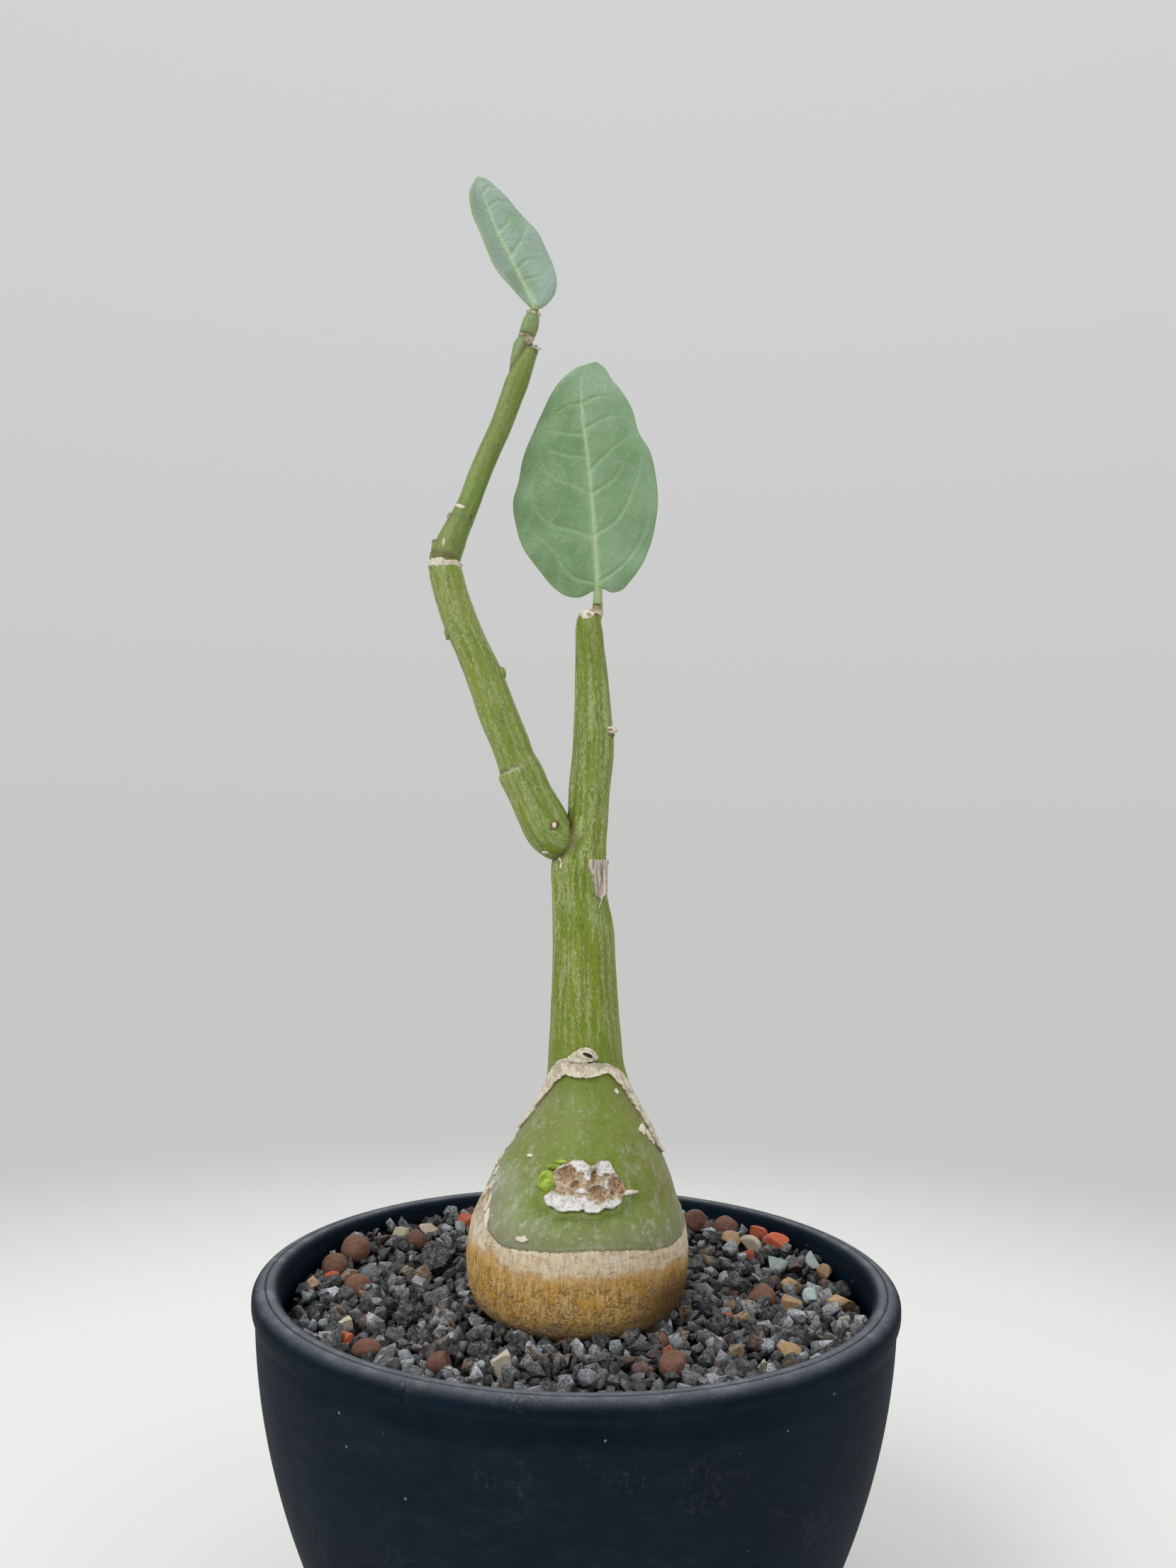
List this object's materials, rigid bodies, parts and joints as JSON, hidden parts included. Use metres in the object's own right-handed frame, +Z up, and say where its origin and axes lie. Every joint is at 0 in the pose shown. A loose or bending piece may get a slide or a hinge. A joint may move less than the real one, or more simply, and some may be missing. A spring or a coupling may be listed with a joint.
{
  "type": "potted adenia",
  "caption": "Young caudex-forming adenia with a swollen base, forked stem and waxy leaves, in a black plastic pot of gritty mix.",
  "frame": {"origin": "middle of the pot's flat foot, at the bottom", "axes": "+Z up, from the pot's foot to the top leaf; the plant's front, with the healed cut on the caudex, faces -Y; the longer left branch leans towards -X"},
  "size_m": [0.15, 0.15, 0.3652],
  "materials": {
    "pot": "black, satin, lightly scuffed",
    "substrate": "dry porous grit, dark grey with clay-brown, brick and pale grains",
    "stem": "waxy green skin with pale striations, cork-brown at the base",
    "leaf": "waxy blue-green with paler veins"
  },
  "bodies": {
    "root": {"pot": "pot", "substrate": "substrate", "caudex_stem": "stem", "leaf_left": "leaf", "leaf_right": "leaf"}
  },
  "joints": []
}
